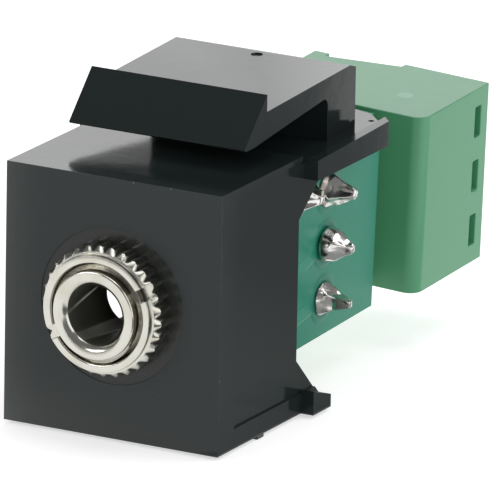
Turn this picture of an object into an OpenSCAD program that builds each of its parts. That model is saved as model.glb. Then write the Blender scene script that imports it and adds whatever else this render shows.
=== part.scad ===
// Keystone jack module: a 3.5 mm stereo socket in a snap-in panel block, with a board that
// carries its three contacts to a pluggable screw terminal at the rear.
// Origin: on the socket's axis, in the plane of the front face. +Z up, +Y to the rear.

/* [Front block] */
// Width of the face that shows in the panel
face_width = 14.5; // [13.5:0.1:16]
// Height of the face that shows in the panel
face_height = 16; // [15.4:0.1:17.5]
// Height of the socket's axis above the underside
axis_height = 8.15; // [7.9:0.05:8.4]
// Depth of the side walls, measured at mid height
block_depth = 9.9; // [9.5:0.1:10.2]
// Thickness of the side walls
side_wall = 1.05; // [0.8:0.05:1.2]
// Thickness of the front wall
front_wall = 1.5; // [1.2:0.1:1.8]
// Thickness of the floor
floor_wall = 0.95; // [0.8:0.05:1.1]
// Depth of the full-size band behind the front face
flange_depth = 2; // [1.5:0.1:3]
// How far the side panels lie below that band
panel_recess = 0.15; // [0.05:0.05:0.25]
// Height of the narrow band left above the side panels
panel_band = 0.3; // [0.2:0.05:0.5]
// Radius of the shallow seat around the nut
seat_radius = 4.8; // [4.4:0.1:5.4]
// Depth of that seat
seat_depth = 0.05; // [0.05:0.01:0.15]

/* [Rails and lugs] */
// How far the top rails and bottom lugs stand out from the sides
rail_reach = 0.85; // [0.6:0.05:1.1]
// Where the rails and lugs begin, behind the front face
rail_start = 10.3; // [10:0.1:10.6]
// Length of the rails
rail_length = 8.9; // [8.5:0.1:9.3]
// Height of the rails at their front
rail_height = 1.25; // [1.15:0.05:1.35]
// Slope of the rails' top, in degrees
rail_slope = 1.9; // [0:0.1:2]
// Drop from the block's top to the top of the rails
rail_drop = 0.2; // [0.1:0.05:0.3]
// Width of the raised rim on each rail
rim_width = 0.65; // [0.5:0.05:0.9]
// Depth of the deck below the front of the rims
deck_sink = 0.35; // [0.25:0.05:0.4]
// Depth of the hollow in the deck's underside
deck_hollow = 0.42; // [0.38:0.01:0.45]
// How far the middle of the deck reaches past the rails
deck_overrun = 3.3; // [3:0.1:3.4]
// Length of the bottom lugs
lug_length = 2.2; // [1.8:0.1:2.6]
// Height of the lugs at their front
lug_front_height = 1.5; // [1.2:0.1:1.8]
// Height of the lugs at their rear
lug_rear_height = 0.8; // [0.5:0.1:1]
// Length of the webs that run from the side walls back to the deck
web_run = 3.1; // [2.8:0.1:3.3]
// Height of those webs
web_rise = 2.45; // [2:0.05:2.6]
// Height of the webs that run down to the lugs
lug_web_rise = 2.55; // [2.3:0.05:2.9]

/* [Latch] */
// Width of the latch arm and its tab
latch_width = 11.9; // [10:0.1:12.4]
// Where the tab's slope begins, behind the front face
tab_start = 5.1; // [4.6:0.1:5.6]
// Run of the tab's slope
tab_run = 2.7; // [2.2:0.1:3]
// Rise of the tab's slope
tab_rise = 2.79; // [2.2:0.01:3.2]
// Height of the slope's lower edge above the block
tab_lift = 1.36; // [1.1:0.02:1.6]
// Height of the arm's top above the block, behind the tab
arm_lift = 3.1; // [2.9:0.05:3.4]
// Rise of the arm from the tab to its root
arm_climb = 0.4; // [0.2:0.05:0.6]
// Thickness of the arm behind the tab
arm_thickness = 1.65; // [1.5:0.05:1.7]
// Thickness of the arm at its root
arm_end_thickness = 1.25; // [1.1:0.05:1.5]
// Rear face of the latch, behind the front face
latch_rear = 18.9; // [18.5:0.1:19]
// Thickness of the latch's root
root_thickness = 3.5; // [2.5:0.1:4]

/* [Socket bushing and nut] */
// Bore of the socket, for a 3.5 mm plug
bore_diameter = 3.6; // [3.55:0.01:3.7]
// Outer diameter of the threaded bushing
thread_diameter = 6; // [5.8:0.1:6.2]
// How far the bushing stands out of the front face
bushing_reach = 2.35; // [2.2:0.05:2.6]
// Width of the bevel around the socket's mouth
mouth_bevel = 0.4; // [0.2:0.05:0.5]
// Width of the chamfer at the front of the bushing's thread
thread_lead = 0.4; // [0.2:0.05:0.5]
// Diameter of the bushing's flange behind the wall
bushing_flange = 7.8; // [7.2:0.1:8.2]
// Thickness of that flange
bushing_flange_depth = 0.8; // [0.6:0.1:1]
// Thickness of the nut from its thread to the tips of its knurl
nut_wall = 1.05; // [0.9:0.05:1.2]
// Thickness of the nut's smooth front ring
nut_ring_wall = 0.6; // [0.5:0.05:0.65]
// How far the nut stands out of the front face
nut_reach = 1.9; // [1.6:0.05:1.95]
// Length of the knurl
knurl_length = 1.6; // [1.2:0.1:1.7]
// Number of teeth in the knurl
knurl_teeth = 30; // [24:1:36]
// Depth of the knurl's teeth
knurl_depth = 0.32; // [0.2:0.02:0.36]
// Width of the nut's two spanner slots
slot_width = 0.85; // [0.6:0.05:1]
// Depth of those slots
slot_depth = 0.55; // [0.4:0.05:0.7]
// Angle of the slots from the horizontal
slot_angle = 28; // [0:1:90]

/* [Socket body] */
// Height of the socket's moulded body
socket_height = 8.8; // [8.6:0.1:9.4]
// Rear end of the socket's body, behind the front face
socket_end = 14.2; // [14:0.1:14.6]
// Thickness of the cap that closes the rear of the socket
cap_thickness = 1; // [0.8:0.1:1.2]
// Width of the chamber that the plug enters
chamber_width = 4.4; // [4.2:0.1:4.8]
// Height of that chamber
chamber_height = 5.2; // [5:0.1:5.4]
// Rear end of the opening in the body's left side
side_opening_end = 9.4; // [9:0.1:9.6]
// Thickness of the contact strip
strip_thickness = 0.3; // [0.2:0.05:0.35]
// Width of the contact springs
spring_width = 1.4; // [1:0.1:1.8]
// Width of the contact tails
tail_width = 0.7; // [0.5:0.05:0.8]
// Turn of the socket about its axis, left from tightening the nut, in degrees
socket_turn = 2.9; // [0:0.1:3]

/* [Board] */
// Thickness of the board
board_thickness = 1.6; // [1.5:0.1:1.7]
// Outer face of the board, to the right of the socket's axis
board_face = 5.4; // [5.3:0.05:5.45]
// Front edge of the board
board_front = 6.6; // [6.4:0.1:7]
// Rear edge of the board
board_rear = 22.85; // [22.5:0.05:23]
// Gap between the board's top edge and the deck's underside
board_drop = 0.15; // [0.15:0.01:0.25]
// Margin of the board below the header and the lowest tail
board_margin = 0.45; // [0.3:0.05:0.6]
// Lean of the board on the socket's tails, rising to the rear, in degrees
board_lean = 2.1; // [0:0.1:2.1]

/* [Header] */
// Distance between poles
pitch = 3.5; // [3.4:0.05:3.5]
// Gap between the header's top side and the deck's underside
header_drop = 0.34; // [0.34:0.01:0.45]
// Where the pins go through the board, behind the front face
pin_row = 16.4; // [16.3:0.1:16.6]
// Thickness of the square pins
pin_size = 0.8; // [0.7:0.05:0.9]
// Height of the pins' row above the board
pin_rise = 3.3; // [3.2:0.05:3.4]
// How far the pins stand out of the board's solder side
pin_tail = 1.9; // [1.6:0.1:2.2]
// Mouth of the header, behind the front face
header_mouth = 25.2; // [25:0.1:25.4]
// Height of the header over the board
header_height = 7.2; // [7:0.1:7.4]
// Wall of the header
header_wall = 0.6; // [0.5:0.05:0.65]
// Thickness of the header's back wall
header_back = 1.8; // [1.7:0.1:2]

/* [Terminal plug] */
// Width of the plug over its three poles
plug_length = 11.3; // [11:0.1:11.5]
// Height of the plug from its screw side to its underside
plug_height = 11.55; // [11.4:0.05:12]
// How far the screw side lies from the pins' row
screw_side = 5; // [4.9:0.1:5.2]
// Depth of the plug behind the header's mouth
plug_depth = 8.5; // [8.4:0.1:9]
// How far the plug's nose reaches into the header
nose_depth = 7.8; // [7.5:0.1:7.9]
// Radius of the plug's front edges
plug_round = 0.9; // [0.6:0.1:1.4]
// Thickness of the wall on the screws' side, left outside the set-back of the rear face
skin_wall = 1; // [0.8:0.1:1.2]
// Depth of that set-back beside the wire entries
set_back = 0.5; // [0.3:0.05:0.7]
// Depth of that set-back beside the wall on the screws' side
set_back_deep = 1.5; // [1:0.05:1.6]
// How far the wall on the screws' side ends ahead of the rear face
skin_set_back = 0.95; // [0.5:0.05:1.1]
// Side of the square wire entries
entry_size = 2.6; // [2.4:0.1:2.8]
// Width of the small windows near the rear edge
window_width = 0.75; // [0.5:0.05:1]
// Length of the small windows
window_length = 1.95; // [1.6:0.05:2.2]

/* [Clamps] */
// How far the clamp screws stand behind the plug's front
clamp_setback = 3.2; // [3.1:0.05:3.3]
// Diameter of the clamp screws
screw_diameter = 2; // [1.9:0.05:2.1]
// Diameter of their heads
head_diameter = 2.7; // [2.5:0.05:2.75]
// Height of their heads
head_height = 1.2; // [1:0.05:1.3]
// Travel of the clamp cages
clamp_travel = 1.9; // [1.5:0.1:2]
// Thickness of the clamp bar
bar_thickness = 0.6; // [0.5:0.05:0.65]
// Thickness of the cage's side walls
cage_side = 0.4; // [0.35:0.05:0.45]
// Room for the wire below the bar in an open clamp
wire_room = 2.4; // [2.2:0.1:2.5]

/* [Clearances] */
// Gap around pieces that slide or turn
running_gap = 0.05; // [0.03:0.01:0.08]
// Gap between fixed pieces that are assembled loosely
assembly_gap = 0.05; // [0.03:0.01:0.1]

/* [Hidden] */
$fn = 64;
cut = 0.01; // overshoot of a cutting tool past a face
far = 60;   // longer than the module in any direction

// Heights, measured from the socket's axis
bottom = -axis_height;
top = face_height - axis_height;
rail_top = top - rail_drop;
rail_bottom = rail_top - rail_height;
deck_top = rail_top - deck_sink;

// Front block
half_face = face_width / 2;
rail_end = rail_start + rail_length;
deck_end = rail_end + deck_overrun;
deck_bow = 0.4;
deck_bow_run = 1.25;
corner_run = 2.75;
hollow_start = rail_start + 1;
hollow_top = rail_bottom + deck_hollow;
roof_end = rail_start - 0.3;
lug_end = rail_start + lug_length;
panel_bottom = bottom + 1.25;
panel_top = top - panel_band;
nub_start = 4.9;
nub_length = 0.8;
nub_height = 0.2;
groove_width = 0.25;
groove_depth = 0.12;

// Latch
tab_top_y = tab_start + tab_run;
tab_base_z = top + tab_lift;
tab_top_z = tab_base_z + tab_rise;
tab_lip = 0.12;
tab_heel = 1.5;
arm_z = top + arm_lift;
arm_rear_z = arm_z + arm_climb;
arm_chamfer = 0.75;
root_round = 0.5;
mark_radius = 0.18;
mark_depth = 0.2;
gate_y = 17.4;
gate_radius = 0.36;
gate_depth = 0.1;

// Socket
bore_r = bore_diameter / 2;
thread_r = thread_diameter / 2;
nut_r = thread_r + nut_wall;
nut_ring_r = thread_r + nut_ring_wall;
bushing_spigot_r = thread_r - 0.4;
socket_start = front_wall + bushing_flange_depth + strip_thickness;
side_opening = [-3.95, 0.6];
cap_start = socket_end - cap_thickness;
socket_left = -4.3;
board_inner = board_face - board_thickness;
socket_right = board_inner - assembly_gap;
socket_half = socket_height / 2;

// Contact springs: how far the touching point lies ahead of the leg, and how far it dips
tip_spring_reach = 2.6;
tip_spring_dip = 1;
ring_spring_reach = 2.4;
ring_spring_dip = 0.9;

// Contact tails: where they pass the board, as [distance behind the face, height]
tip_hole = [12.5, rail_bottom - board_drop - 1.1];
ring_hole = [8.2, -socket_half + tail_width / 2 + 0.8];
sleeve_hole = [8.2, socket_half - tail_width / 2 - 0.7];
short_tail = 0.5;
long_tail = 1.6;

// Poles and header
row_x = board_inner - pin_rise;
header_front = pin_row - header_back / 2 - 0.3;
header_top_x = board_inner - header_height;
header_base_x = board_inner - assembly_gap;
socket_pocket_half = 1.05;
nose_half = pitch + socket_pocket_half + 0.25;
header_half = nose_half + running_gap + header_wall;
header_mid = rail_bottom - header_drop - header_half;
pole_z = [for (i = [-1, 0, 1]) header_mid + i * pitch];
pin_end = header_mouth - 1.2;
pin_point = 0.8;
pin_point_half = 0.22;
header_floor = header_front + header_back;
key_width = 1.4;
key_height = 0.4;
key_length = 3.6;
nose_top_x = header_top_x + header_wall + key_height + running_gap;
nose_base_x = header_base_x - header_wall - running_gap;

// Board
board_top = rail_bottom - board_drop;
board_bottom = min(header_mid - header_half, ring_hole[1] - tail_width) - board_margin;
lean_y = ring_hole[0];
hole_gap = 0.12;

// Plug
plug_start = header_mouth + running_gap * 2;
plug_end = plug_start + plug_depth;
plug_top_x = row_x - screw_side;
plug_base_x = plug_top_x + plug_height;
plug_half = plug_length / 2;
nose_start = header_mouth - nose_depth;
nose_wall = 0.6;
pin_entry_half = 0.6;

// Clamp, measured along X from the screw side
head_top_x = plug_top_x + 0.6;
head_seat_x = head_top_x + head_height;
bar_x = row_x + pin_size / 2 + 0.3;
cage_top_wall = 0.7;
cage_bottom_wall = 0.6;
cage_x = bar_x - 2 * running_gap - cage_top_wall - 0.05;
cage_inner_x = cage_x + cage_top_wall;
cage_end_x = bar_x + bar_thickness + wire_room + cage_bottom_wall;
cage_half = 1.4;
bar_half = cage_half - cage_side - running_gap;
cage_length = 3.4;
clamp_y = plug_start + clamp_setback;
pocket_x = cage_x - clamp_travel - 0.2;
pocket_end_x = cage_end_x + 0.15;
pocket_half = cage_half + running_gap;
pocket_start = clamp_y - cage_length / 2 - 0.6;
pocket_end = clamp_y + cage_length / 2 + 0.6;
bar_end = pocket_end + 0.5;
leaf = 0.35;
window_setback = 1.65;
window_sink = 0.8;
entry_flare = 0.2;
entry_flare_depth = 0.6;

// A profile in the Y-Z plane, extruded along X
module yz_prism(points, x0, x1) {
    translate([x0, 0, 0]) rotate([90, 0, 90]) linear_extrude(x1 - x0) polygon(points);
}

// A box between two corners
module block(low, high) {
    translate(low) cube(high - low);
}

// A cylinder along Y from y0 to y1, around the socket's axis
module y_rod(r, y0, y1, r2 = -1) {
    translate([0, y0, 0]) rotate([-90, 0, 0]) cylinder(h = y1 - y0, r1 = r, r2 = r2 < 0 ? r : r2);
}

// A cylinder along X from x0 to x1, at a place in the Y-Z plane
module x_rod(r, x0, x1, y, z) {
    translate([x0, y, z]) rotate([0, 90, 0]) cylinder(h = x1 - x0, r = r);
}

// Sets a piece as the socket stands in the block
module on_socket() {
    rotate([0, socket_turn, 0]) children();
}

// Leans a piece as the board does, about its two front tails
module lean() {
    translate([0, lean_y, 0]) rotate([board_lean, 0, 0]) translate([0, -lean_y, 0]) children();
}

module on_board() {
    on_socket() lean() children();
}

// Points of an arc from angle a to angle b
function arc(cy, cz, r, a, b, steps = 10) =
    [for (i = [0:steps]) let (t = a + (b - a) * i / steps) [cy + r * cos(t), cz + r * sin(t)]];

// Side outline of the block: floor, webs at the rear of the side wall, roof
block_outline = [
    [0, bottom], [lug_end, bottom], [lug_end, bottom + lug_rear_height],
    [block_depth, bottom + lug_rear_height + lug_web_rise], [block_depth, rail_bottom - web_rise],
    [block_depth + web_run, rail_bottom], [block_depth + web_run, rail_bottom + cut],
    [roof_end, rail_bottom + cut], [roof_end, top], [0, top]];

// Half of the deck's plan, between and beyond the rails
function deck_plan(reach) = [
    [0, rail_start], [reach, rail_start], [reach, rail_end],
    [reach - corner_run, deck_end - deck_bow], [reach - corner_run - deck_bow_run, deck_end],
    [0, deck_end]];

// Height of the arm's top at a distance behind the front face
function arm_top(y) = arm_z + arm_climb * (y - tab_top_y) / (latch_rear - arm_chamfer - tab_top_y);
root_front = latch_rear - root_thickness - root_round;

// Side outline of the latch: inclined tab, arm, root that stands on the deck
latch_outline = concat(
    [[tab_start, tab_base_z], [tab_top_y, tab_top_z], [tab_top_y, arm_z],
        [latch_rear - arm_chamfer, arm_rear_z], [latch_rear, arm_rear_z - arm_chamfer / 3],
        [latch_rear, deck_top - cut], [latch_rear - root_thickness, deck_top - cut]],
    arc(root_front, arm_top(root_front) - arm_end_thickness - root_round, root_round, 0, 90, 8),
    [[tab_top_y + 0.4, arm_z - arm_thickness], [tab_top_y - tab_heel, tab_base_z - tab_lip],
        [tab_start + tab_lip, tab_base_z - tab_lip]]);

module latch() {
    difference() {
        yz_prism(latch_outline, -latch_width / 2, latch_width / 2);
        // dimple left by the mould's gate
        translate([0, gate_y, arm_top(gate_y) - gate_depth]) cylinder(h = 1, r = gate_radius, $fn = 24);
    }
}

// Deck with its two rails. The rims rise to the rear, the deck between them is level.
module deck() {
    reach = half_face + rail_reach;
    rim = reach - rim_width;
    difference() {
        translate([0, 0, rail_bottom]) linear_extrude(rail_height * 2) union() {
            polygon(deck_plan(reach));
            mirror([1, 0]) polygon(deck_plan(reach));
        }
        translate([0, rail_start, rail_top]) rotate([rail_slope, 0, 0])
            block([-far, -far, 0], [far, far, far]);
        block([-rim, 0, deck_top], [rim, far, far]);
        for (side = [-1, 1])
            translate([side * (rim - groove_width * 2), 0, 0])
                block([-groove_width / 2, rail_start, deck_top - groove_depth],
                    [groove_width / 2, far, far]);
        // small ejector marks in the rear corners
        for (side = [-1, 1])
            translate([side * (reach - corner_run + 0.75), deck_end - 1.8, deck_top - mark_depth])
                cylinder(h = 1, r = mark_radius, $fn = 16);
    }
}

module lug(side) {
    xs = side > 0 ? [half_face - side_wall, half_face + rail_reach]
        : [-half_face - rail_reach, -half_face + side_wall];
    yz_prism([[rail_start, bottom], [lug_end, bottom], [lug_end, bottom + lug_rear_height],
        [rail_start, bottom + lug_front_height]], xs[0], xs[1]);
}

module housing() {
    inner = half_face - side_wall;
    color([0.13, 0.14, 0.14]) difference() {
        union() {
            difference() {
                yz_prism(block_outline, -half_face, half_face);
                // recessed side panels
                for (side = [-1, 1])
                    translate([side * half_face, (flange_depth + far) / 2, 0])
                        block([-panel_recess, -(far - flange_depth) / 2, panel_bottom],
                            [panel_recess, (far - flange_depth) / 2, panel_top]);
            }
            deck();
            // bridge between the roof and the deck
            block([panel_recess - half_face, roof_end - 1, rail_bottom],
                [half_face - panel_recess, rail_start + cut, deck_top]);
            for (side = [-1, 1]) lug(side);
            latch();
            block([-half_face, nub_start, bottom - nub_height],
                [half_face, nub_start + nub_length, bottom + cut]);
        }
        // inside, open to the rear
        block([-inner, front_wall, bottom + floor_wall], [inner, far, rail_bottom]);
        block([-inner, hollow_start, 0], [inner, far, hollow_top]);
        // hole for the bushing and the seat for the nut
        y_rod(thread_r + assembly_gap, -1, front_wall + 1);
        y_rod(seat_radius, -1, seat_depth);
    }
}

// One tooth is a point out and a point in
knurl_outline = [for (i = [0:2 * knurl_teeth - 1])
    let (r = nut_r - (i % 2) * knurl_depth, a = 180 * i / knurl_teeth)
    [r * cos(a), r * sin(a)]];

module ring_nut() {
    knurl_front = seat_depth - knurl_length;
    root_r = nut_r - knurl_depth;
    color([0.80, 0.79, 0.74]) difference() {
        union() {
            translate([0, seat_depth, 0]) rotate([90, 0, 0])
                linear_extrude(knurl_length) polygon(knurl_outline);
            y_rod(nut_ring_r, -nut_reach, knurl_front, root_r);
        }
        y_rod(thread_r + running_gap, -far, far);
        // bevel that leads into the thread
        y_rod(thread_r + 0.3, -nut_reach - cut, -nut_reach + 0.3, thread_r);
        // two spanner slots
        rotate([0, -slot_angle, 0])
            block([-far, -nut_reach - 1, -slot_width / 2],
                [far, -nut_reach + slot_depth, slot_width / 2]);
    }
}

module socket_bushing() {
    flange_end = front_wall + bushing_flange_depth;
    color([0.82, 0.81, 0.78]) difference() {
        union() {
            y_rod(thread_r - thread_lead, -bushing_reach, -bushing_reach + thread_lead, thread_r);
            y_rod(thread_r, -bushing_reach + thread_lead, front_wall);
            y_rod(bushing_flange / 2, front_wall, flange_end);
            y_rod(bushing_spigot_r, flange_end - cut, socket_start);
        }
        y_rod(bore_r, -far, far);
        y_rod(bore_r + mouth_bevel + cut, -bushing_reach - cut, -bushing_reach + mouth_bevel, bore_r);
    }
}

// Slot in the socket's body for a flat contact leg and its tail
module leg_slot(hole, z0, z1) {
    half_strip = strip_thickness / 2 + 0.02;
    block([-spring_width / 2 - 0.02, hole[0] - half_strip, min(z0, z1)],
        [spring_width / 2 + 0.02, hole[0] + half_strip, max(z0, z1)]);
    block([0, hole[0] - half_strip, hole[1] - tail_width / 2 - 0.02],
        [far, hole[0] + half_strip, hole[1] + tail_width / 2 + 0.02]);
}

module socket_body() {
    sleeve_x = socket_right - 0.15 - strip_thickness;
    color([0.16, 0.16, 0.16]) on_socket() difference() {
        block([socket_left, socket_start, -socket_half], [socket_right, cap_start, socket_half]);
        block([-chamber_width / 2, 0, -chamber_height / 2],
            [chamber_width / 2, far, chamber_height / 2]);
        // the left side is open beside the springs
        block([-far, 0, side_opening[0]], [0, side_opening_end, side_opening[1]]);
        leg_slot(tip_hole, chamber_height / 2 - strip_thickness, far);
        leg_slot(ring_hole, -chamber_height / 2 + strip_thickness, -far);
        // groove for the sleeve contact's arm
        block([sleeve_x - 0.02, 0, sleeve_hole[1] - tail_width / 2 - 0.02],
            [far, sleeve_hole[0] + strip_thickness / 2 + 0.02, sleeve_hole[1] + tail_width / 2 + 0.02]);
    }
}

module socket_end_cap() {
    lip = 0.15;
    lip_gap = 0.05;
    lip_half = chamber_height / 2 - strip_thickness - lip_gap;
    color([0.16, 0.16, 0.16]) on_socket() difference() {
        union() {
            block([socket_left, cap_start, -socket_half], [socket_right, socket_end, socket_half]);
            // plug that locates the cap in the chamber
            block([lip_gap - chamber_width / 2, cap_start - lip, -lip_half],
                [chamber_width / 2 - lip_gap, cap_start + cut, lip_half]);
        }
        // hole for the tip of a plug
        y_rod(1.1, cap_start - far, socket_end + cut);
    }
}

// A leaf spring: runs along a wall of the chamber, then dips to the plug and back.
// side is +1 at the chamber's roof and -1 at its floor.
module leaf_spring(anchor, dip, lift, side) {
    wall_z = chamber_height / 2;
    t = strip_thickness;
    // The strip steps off the wall just past its leg
    lower = [[anchor + 0.6, wall_z - t], [anchor - 0.8, wall_z - t], [dip, wall_z - t - lift],
        [dip - 1, wall_z - t - lift / 3]];
    upper = [[dip - 1, wall_z - lift / 3], [dip, wall_z - lift], [anchor - 0.8, wall_z],
        [anchor + 0.6, wall_z]];
    yz_prism([for (p = concat(lower, upper)) [p[0], side * p[1]]], -spring_width / 2, spring_width / 2);
}

// Flat leg from a spring through the body's wall, with a tail through the board
module contact_leg(hole, z0, tail) {
    half_strip = strip_thickness / 2;
    far_z = hole[1] + sign(hole[1]) * tail_width / 2;
    block([-spring_width / 2, hole[0] - half_strip, min(z0, far_z)],
        [spring_width / 2, hole[0] + half_strip, max(z0, far_z)]);
    block([0, hole[0] - half_strip, hole[1] - tail_width / 2],
        [board_face + tail, hole[0] + half_strip, hole[1] + tail_width / 2]);
}

module tip_contact() {
    color([0.78, 0.76, 0.70]) on_socket() union() {
        leaf_spring(tip_hole[0], tip_hole[0] - tip_spring_reach, tip_spring_dip, 1);
        contact_leg(tip_hole, chamber_height / 2 - strip_thickness, long_tail);
    }
}

module ring_contact() {
    color([0.78, 0.76, 0.70]) on_socket() union() {
        leaf_spring(ring_hole[0], ring_hole[0] - ring_spring_reach, ring_spring_dip, -1);
        contact_leg(ring_hole, -chamber_height / 2 + strip_thickness, short_tail);
    }
}

// Ring under the bushing's flange, with an arm along the body to the board
module sleeve_contact() {
    plate_start = socket_start - strip_thickness;
    arm_x = socket_right - 0.15 - strip_thickness;
    z0 = sleeve_hole[1] - tail_width / 2;
    z1 = sleeve_hole[1] + tail_width / 2;
    color([0.78, 0.76, 0.70]) on_socket() difference() {
        union() {
            y_rod(bushing_flange / 2 - 0.1, plate_start, socket_start);
            block([0, plate_start, z0], [arm_x + strip_thickness, socket_start, z1]);
            block([arm_x, plate_start, z0],
                [arm_x + strip_thickness, sleeve_hole[0] + strip_thickness / 2, z1]);
            block([arm_x, sleeve_hole[0] - strip_thickness / 2, z0],
                [board_face + short_tail, sleeve_hole[0] + strip_thickness / 2, z1]);
        }
        y_rod(bushing_spigot_r + 0.02, 0, far);
    }
}

module circuit_board() {
    color([0.20, 0.55, 0.46]) on_socket() difference() {
        lean() difference() {
            block([board_inner, board_front, board_bottom], [board_face, board_rear, board_top]);
            for (z = pole_z)
                x_rod(pin_size * 0.75, 0, far, pin_row, z);
        }
        for (hole = [tip_hole, ring_hole, sleeve_hole])
            x_rod(tail_width / 2 + hole_gap, 0, far, hole[0], hole[1]);
    }
}

// Solder cone on the outer face of the board, hollow where the lead runs through
module solder_cone(base_r, tip_r, height) {
    steps = 8;
    side = [for (i = [0:steps]) let (t = i / steps)
        [tip_r + (base_r - tip_r) * pow(1 - t, 1.7), height * t]];
    rotate([0, 90, 0]) rotate_extrude() polygon(concat([[0, 0]], side, [[0, height]]));
}

module tail_solder(hole, tail, base_r) {
    color([0.85, 0.85, 0.86]) on_socket() difference() {
        translate([board_face, hole[0], hole[1]]) solder_cone(base_r, 0.42, tail - 0.1);
        block([0, hole[0] - strip_thickness / 2, hole[1] - tail_width / 2],
            [far, hole[0] + strip_thickness / 2, hole[1] + tail_width / 2]);
    }
}

module tip_solder() tail_solder(tip_hole, long_tail, 0.95);
module ring_solder() tail_solder(ring_hole, short_tail, 0.75);
module sleeve_solder() tail_solder(sleeve_hole, short_tail, 0.75);

module header_solder(i) {
    color([0.85, 0.85, 0.86]) on_board() difference() {
        translate([board_face, pin_row, pole_z[i]]) solder_cone(0.95, 0.42, pin_tail - 0.25);
        bent_pin(pole_z[i]);
    }
}

module header_solder_1() header_solder(0);
module header_solder_2() header_solder(1);
module header_solder_3() header_solder(2);

// Bent square pin at a height: one leg through the board to a point, one leg towards the mouth
module bent_pin(z) {
    h = pin_size / 2;
    end_x = board_face + pin_tail;
    bevel = 0.2;
    intersection() {
        translate([0, 0, z - h]) linear_extrude(pin_size) polygon([
            [row_x - h + bevel, pin_row - h], [end_x - pin_point, pin_row - h],
            [end_x, pin_row - pin_point_half], [end_x, pin_row + pin_point_half],
            [end_x - pin_point, pin_row + h], [row_x + h, pin_row + h],
            [row_x + h, pin_end - bevel], [row_x + h - bevel, pin_end], [row_x - h + bevel, pin_end],
            [row_x - h, pin_end - bevel], [row_x - h, pin_row - h + bevel]]);
        // the point narrows in height too
        translate([0, far, z]) rotate([90, 0, 0]) linear_extrude(far) polygon([
            [-far, -h], [end_x - pin_point, -h], [end_x, -pin_point_half],
            [end_x, pin_point_half], [end_x - pin_point, h], [-far, h]]);
    }
}

module header_pin(i) {
    color([0.80, 0.78, 0.72]) on_board() bent_pin(pole_z[i]);
}

module header_pin_1() header_pin(0);
module header_pin_2() header_pin(1);
module header_pin_3() header_pin(2);

module header_shell() {
    gap = 0.02;
    h = pin_size / 2 + gap;
    color([0.36, 0.62, 0.42]) on_board() difference() {
        block([header_top_x, header_front, header_mid - header_half],
            [header_base_x, header_mouth, header_mid + header_half]);
        // socket for the plug's nose
        block([nose_top_x - running_gap, header_floor, header_mid - nose_half - running_gap],
            [nose_base_x + running_gap, far, header_mid + nose_half + running_gap]);
        for (z = pole_z) {
            // keyways for the ribs on the nose
            block([header_top_x + header_wall, header_mouth - key_length - running_gap,
                    z - key_width / 2 - running_gap],
                [nose_top_x, far, z + key_width / 2 + running_gap]);
            // bent pin, laid in from the back
            block([row_x - h, header_front - cut, z - h], [far, pin_row + h, z + h]);
            block([row_x - h, header_front, z - h], [row_x + h, far, z + h]);
        }
    }
}

// Everything hollow in the plug around one pole
module pole_hollow(z) {
    entry_x = bar_x + bar_thickness + 0.05;
    // hole for the pin, with the contact's pocket behind it
    block([row_x - pin_entry_half, nose_start - cut, z - pin_entry_half],
        [row_x + pin_entry_half, nose_start + nose_wall + cut, z + pin_entry_half]);
    block([row_x - pin_size / 2 - running_gap - leaf - 0.05, nose_start + nose_wall,
            z - socket_pocket_half],
        [bar_x + bar_thickness + 0.05, pocket_start + cut, z + socket_pocket_half]);
    // room for the clamp cage and its travel
    block([pocket_x, pocket_start, z - pocket_half], [pocket_end_x, pocket_end, z + pocket_half]);
    // rest for the end of the clamp bar
    block([bar_x - 0.02, pocket_end - cut, z - bar_half - 0.02],
        [bar_x + bar_thickness + 0.05 + cut, bar_end + 0.02, z + bar_half + 0.02]);
    // screw
    x_rod(screw_diameter / 2 + 0.1, head_seat_x - cut, pocket_x + cut, clamp_y, z);
    x_rod(head_diameter / 2 + 0.07, plug_top_x - 1, head_seat_x, clamp_y, z);
    // wire entry with a flared mouth
    block([entry_x, pocket_end - cut, z - entry_size / 2],
        [entry_x + entry_size, far, z + entry_size / 2]);
    block([entry_x - entry_flare, plug_end - entry_flare_depth, z - entry_size / 2 - entry_flare],
        [entry_x + entry_size + entry_flare, far, z + entry_size / 2 + entry_flare]);
    // small window near the rear edge of the underside
    block([plug_base_x - window_sink, plug_end - window_setback, z - window_length / 2],
        [far, plug_end - window_setback + window_width, z + window_length / 2]);
}

module plug_body() {
    outline = concat([[plug_top_x, plug_end], [plug_top_x, plug_start + 0.3],
        [plug_top_x + 0.3, plug_start]],
        arc(plug_base_x - plug_round, plug_start + plug_round, plug_round, 270, 360, 8),
        [[plug_base_x, plug_end]]);
    set_back_end = row_x + pin_size / 2 + 0.35;
    color([0.36, 0.62, 0.42]) on_board() difference() {
        union() {
            translate([0, 0, header_mid - plug_half]) linear_extrude(plug_length) polygon(outline);
            block([nose_top_x, nose_start, header_mid - nose_half],
                [nose_base_x, plug_start + cut, header_mid + nose_half]);
            for (z = pole_z)
                block([nose_top_x - key_height, header_mouth - key_length, z - key_width / 2],
                    [nose_top_x + cut, plug_start + cut, z + key_width / 2]);
        }
        // the rear face slants forward towards the screws' side
        translate([0, 0, -far]) linear_extrude(2 * far) polygon([
            [plug_top_x - 1, plug_end - skin_set_back],
            [plug_top_x + skin_wall, plug_end - skin_set_back],
            [plug_top_x + skin_wall, plug_end - set_back_deep], [set_back_end, plug_end - set_back],
            [set_back_end, plug_end + 1], [plug_top_x - 1, plug_end + 1]]);
        for (z = pole_z) pole_hollow(z);
    }
}

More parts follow.
